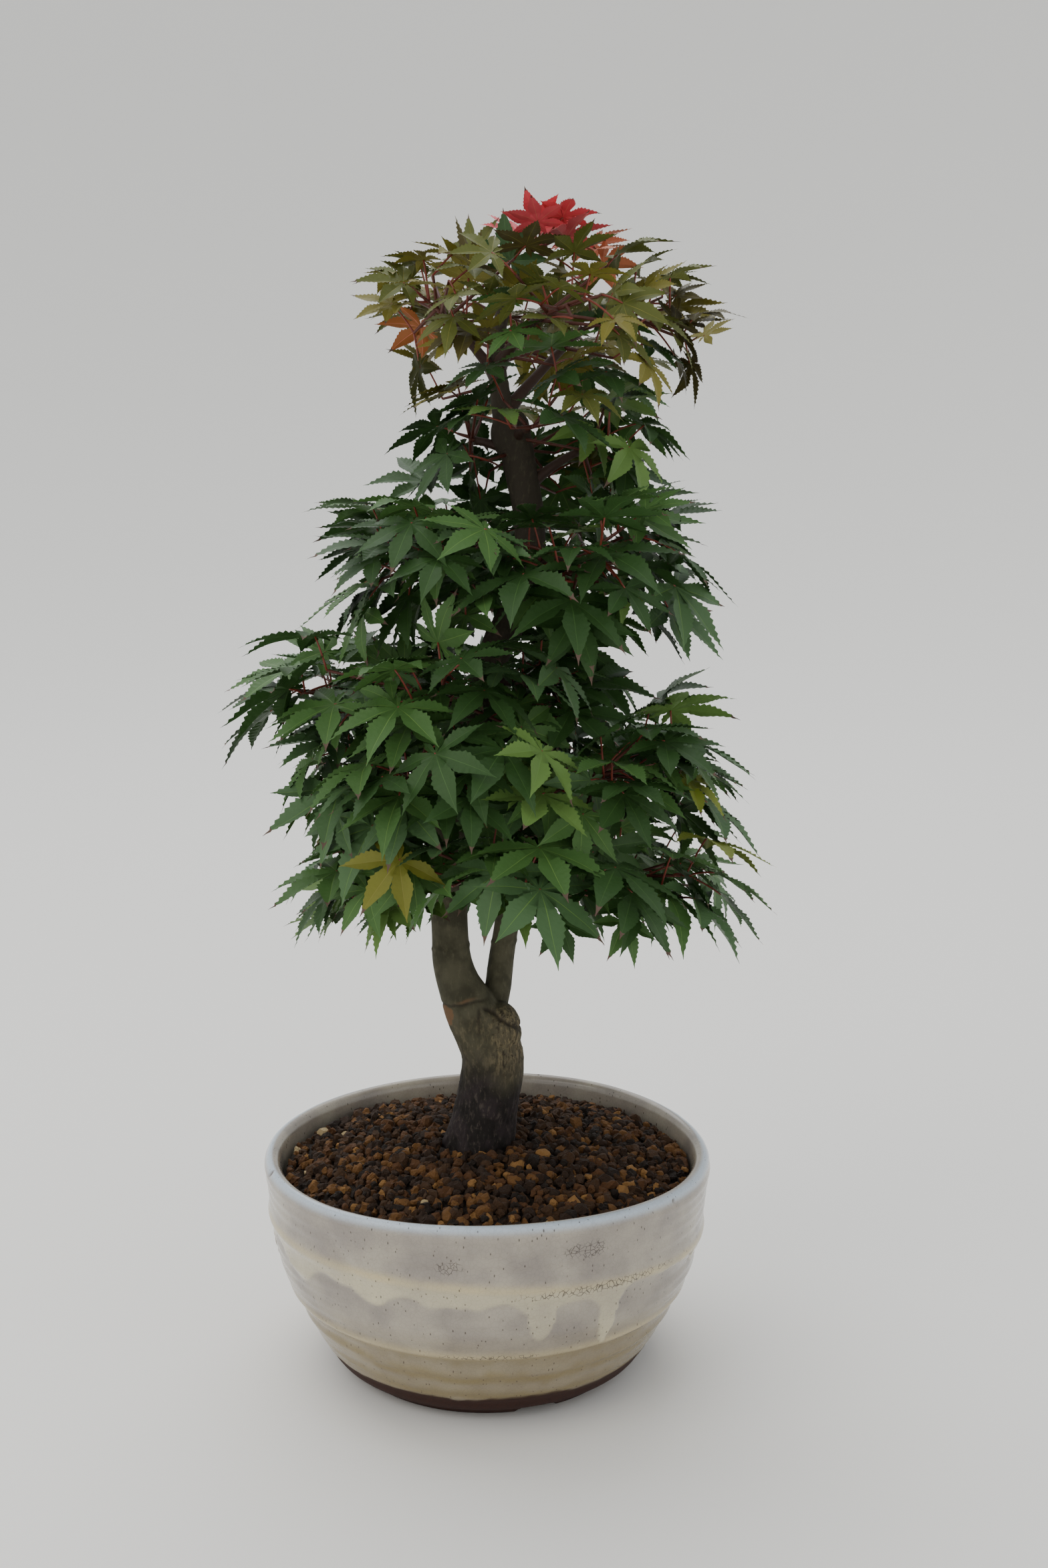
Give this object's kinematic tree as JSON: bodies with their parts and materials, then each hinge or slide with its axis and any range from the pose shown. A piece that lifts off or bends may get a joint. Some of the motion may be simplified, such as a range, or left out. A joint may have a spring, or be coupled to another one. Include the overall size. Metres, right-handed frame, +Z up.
{
  "type": "japanese maple bonsai",
  "caption": "Small japanese maple tree trained as a bonsai: forked S-bent trunk, tiered crown of palmate leaves, in a round glazed hand-thrown pot filled with granular soil.",
  "frame": {"origin": "on the table under the centre of the pot's foot ring, in metres", "axes": "+Z up the tree; the front, which the picture shows, faces -Y; +X is to the right seen from the front"},
  "size_m": [0.2169, 0.2012, 0.45],
  "materials": {
    "glaze": "gloss",
    "soil": "matte",
    "bark": "matte",
    "young_bark": "satin",
    "green_leaves": "satin",
    "crown_leaves": "satin",
    "tuft_leaves": "satin"
  },
  "bodies": {
    "root": {"pot": "glaze", "soil": "soil", "trunk": "bark", "second_stem": "bark", "pruned_stub": "bark", "bough_skirt_right": "young_bark", "bough_skirt_back_right": "young_bark", "bough_skirt_back_left": "young_bark", "bough_skirt_left": "young_bark", "bough_skirt_front": "young_bark", "bough_lower_right": "young_bark", "bough_lower_back": "young_bark", "bough_lower_left": "young_bark", "bough_lower_front_left": "young_bark", "bough_lower_front_right": "young_bark", "bough_middle_back": "young_bark", "bough_middle_left": "young_bark", "bough_middle_front": "young_bark", "bough_middle_right": "young_bark", "bough_upper_back_right": "young_bark", "bough_upper_back_left": "young_bark", "bough_upper_front_left": "young_bark", "bough_upper_front_right": "young_bark", "bough_neck_right": "young_bark", "bough_neck_back": "young_bark", "bough_neck_left": "young_bark", "bough_neck_front": "young_bark", "bough_crown_right": "young_bark", "bough_crown_back": "young_bark", "bough_crown_left": "young_bark", "bough_crown_front": "young_bark", "leaves_skirt_right": "green_leaves", "leaves_skirt_back_right": "green_leaves", "leaves_skirt_back_left": "green_leaves", "leaves_skirt_left": "green_leaves", "leaves_skirt_front": "green_leaves", "leaves_lower_right": "green_leaves", "leaves_lower_back": "green_leaves", "leaves_lower_left": "green_leaves", "leaves_lower_front_left": "green_leaves", "leaves_lower_front_right": "green_leaves", "leaves_middle_back": "green_leaves", "leaves_middle_left": "green_leaves", "leaves_middle_front": "green_leaves", "leaves_middle_right": "green_leaves", "leaves_upper_back_right": "green_leaves", "leaves_upper_back_left": "green_leaves", "leaves_upper_front_left": "green_leaves", "leaves_upper_front_right": "green_leaves", "leaves_neck_right": "green_leaves", "leaves_neck_back": "green_leaves", "leaves_neck_left": "green_leaves", "leaves_neck_front": "green_leaves", "leaves_crown_right": "crown_leaves", "leaves_crown_back": "crown_leaves", "leaves_crown_left": "crown_leaves", "leaves_crown_front": "crown_leaves", "leaves_tuft": "tuft_leaves"}
  },
  "joints": []
}
